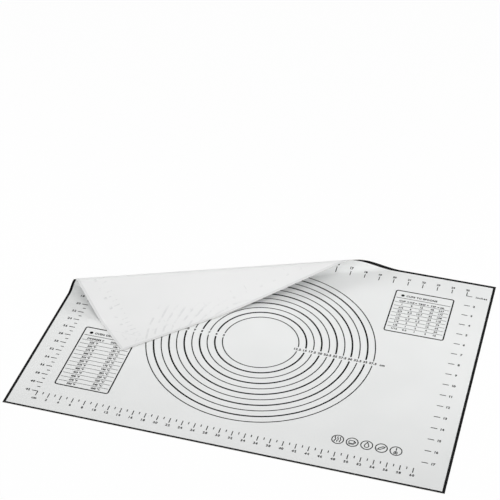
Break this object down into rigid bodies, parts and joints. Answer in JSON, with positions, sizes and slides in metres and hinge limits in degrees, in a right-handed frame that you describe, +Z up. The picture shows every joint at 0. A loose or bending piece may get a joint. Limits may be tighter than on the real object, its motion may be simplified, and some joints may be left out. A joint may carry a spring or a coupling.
{
  "type": "baking mat",
  "caption": "Rectangular printed silicone baking mat lying flat with one corner folded over on itself; the corner unrolls to lie flat.",
  "frame": {"origin": "middle of the underside, on the worktop", "axes": "+X along the long edges, to the right of the printed face; +Y to the back; +Z up out of the printed face"},
  "size_m": [0.6971, 0.4982, 0.0287],
  "materials": {
    "printed_face": "satin pale grey silicone",
    "underside": "matt pale grey silicone",
    "glass_cloth": "woven glass-fibre cloth",
    "black_ink": "matt black silicone ink"
  },
  "bodies": {
    "mat": {"mat_bottom_skin": "underside", "mat_glass_cloth": "glass_cloth", "mat_top_skin": "printed_face", "mat_border": "black_ink", "dough_ring_1": "black_ink", "dough_ring_2": "black_ink", "dough_ring_3": "black_ink", "dough_ring_4": "black_ink", "dough_ring_5": "black_ink", "dough_ring_6": "black_ink", "dough_ring_7": "black_ink", "dough_ring_8": "black_ink", "dough_ring_9": "black_ink", "dough_ring_10": "black_ink", "dough_ring_11": "black_ink", "oven_table_frame": "black_ink", "measure_table_frame": "black_ink", "badge_ring_1": "black_ink", "badge_ring_2": "black_ink", "badge_ring_3": "black_ink", "badge_ring_4": "black_ink", "badge_ring_5": "black_ink"},
    "curl_1": {"curl_1_bottom_skin": "underside", "curl_1_glass_cloth": "glass_cloth", "curl_1_top_skin": "printed_face"},
    "curl_2": {"curl_2_bottom_skin": "underside", "curl_2_glass_cloth": "glass_cloth", "curl_2_top_skin": "printed_face"},
    "curl_3": {"curl_3_bottom_skin": "underside", "curl_3_glass_cloth": "glass_cloth", "curl_3_top_skin": "printed_face"},
    "curl_4": {"curl_4_bottom_skin": "underside", "curl_4_glass_cloth": "glass_cloth", "curl_4_top_skin": "printed_face"},
    "curl_5": {"curl_5_bottom_skin": "underside", "curl_5_glass_cloth": "glass_cloth", "curl_5_top_skin": "printed_face"},
    "curl_6": {"curl_6_bottom_skin": "underside", "curl_6_glass_cloth": "glass_cloth", "curl_6_top_skin": "printed_face"},
    "curl_7": {"curl_7_bottom_skin": "underside", "curl_7_glass_cloth": "glass_cloth", "curl_7_top_skin": "printed_face"},
    "curl_8": {"curl_8_bottom_skin": "underside", "curl_8_glass_cloth": "glass_cloth", "curl_8_top_skin": "printed_face"},
    "curl_9": {"curl_9_bottom_skin": "underside", "curl_9_glass_cloth": "glass_cloth", "curl_9_top_skin": "printed_face"},
    "flap": {"flap_bottom_skin": "underside", "flap_glass_cloth": "glass_cloth", "flap_top_skin": "printed_face", "flap_left_border": "black_ink", "flap_back_border": "black_ink"},
    "corner": {"corner_bottom_skin": "underside", "corner_glass_cloth": "glass_cloth", "corner_top_skin": "printed_face", "corner_border": "black_ink"}
  },
  "joints": [
    {"name": "fold_1", "type": "hinge", "parent": "mat", "child": "curl_1", "pos_m": [-0.06184, 0.14929, 0.0008], "axis": [-0.9239, -0.3827, 0], "range_deg": [0, 19.97]},
    {"name": "fold_2", "type": "hinge", "parent": "curl_1", "child": "curl_2", "pos_m": [-0.06355, 0.15343, 0.00243], "axis": [-0.9239, -0.3827, 0], "range_deg": [0, 19.97]},
    {"name": "fold_3", "type": "hinge", "parent": "curl_2", "child": "curl_3", "pos_m": [-0.06495, 0.15682, 0.0055], "axis": [-0.9239, -0.3827, 0], "range_deg": [0, 19.97]},
    {"name": "fold_4", "type": "hinge", "parent": "curl_3", "child": "curl_4", "pos_m": [-0.06587, 0.15903, 0.00963], "axis": [-0.9239, -0.3827, 0], "range_deg": [0, 19.97]},
    {"name": "fold_5", "type": "hinge", "parent": "curl_4", "child": "curl_5", "pos_m": [-0.06619, 0.1598, 0.01433], "axis": [-0.9239, -0.3827, 0], "range_deg": [0, 19.97]},
    {"name": "fold_6", "type": "hinge", "parent": "curl_5", "child": "curl_6", "pos_m": [-0.06588, 0.15905, 0.01903], "axis": [-0.9239, -0.3827, 0], "range_deg": [0, 19.97]},
    {"name": "fold_7", "type": "hinge", "parent": "curl_6", "child": "curl_7", "pos_m": [-0.06497, 0.15685, 0.02318], "axis": [-0.9239, -0.3827, 0], "range_deg": [0, 19.97]},
    {"name": "fold_8", "type": "hinge", "parent": "curl_7", "child": "curl_8", "pos_m": [-0.06358, 0.15349, 0.02626], "axis": [-0.9239, -0.3827, 0], "range_deg": [0, 19.97]},
    {"name": "fold_9", "type": "hinge", "parent": "curl_8", "child": "curl_9", "pos_m": [-0.06186, 0.14935, 0.02791], "axis": [-0.9239, -0.3827, 0], "range_deg": [0, 19.97]},
    {"name": "fold_10", "type": "hinge", "parent": "curl_9", "child": "flap", "pos_m": [-0.06003, 0.14494, 0.02793], "axis": [-0.9239, -0.3827, 0], "range_deg": [0, 19.97]},
    {"name": "droop", "type": "hinge", "parent": "flap", "child": "corner", "pos_m": [-0.0313, 0.07557, 0.0019], "axis": [0.9239, 0.3827, 0], "range_deg": [0, 19.7]}
  ],
  "couplings": [
    {"joint": "fold_2", "follows": "fold_1", "ratio": 1},
    {"joint": "fold_3", "follows": "fold_1", "ratio": 1},
    {"joint": "fold_4", "follows": "fold_1", "ratio": 1},
    {"joint": "fold_5", "follows": "fold_1", "ratio": 1},
    {"joint": "fold_6", "follows": "fold_1", "ratio": 1},
    {"joint": "fold_7", "follows": "fold_1", "ratio": 1},
    {"joint": "fold_8", "follows": "fold_1", "ratio": 1},
    {"joint": "fold_9", "follows": "fold_1", "ratio": 1},
    {"joint": "fold_10", "follows": "fold_1", "ratio": 1},
    {"joint": "droop", "follows": "fold_1", "ratio": 0.98648}
  ]
}
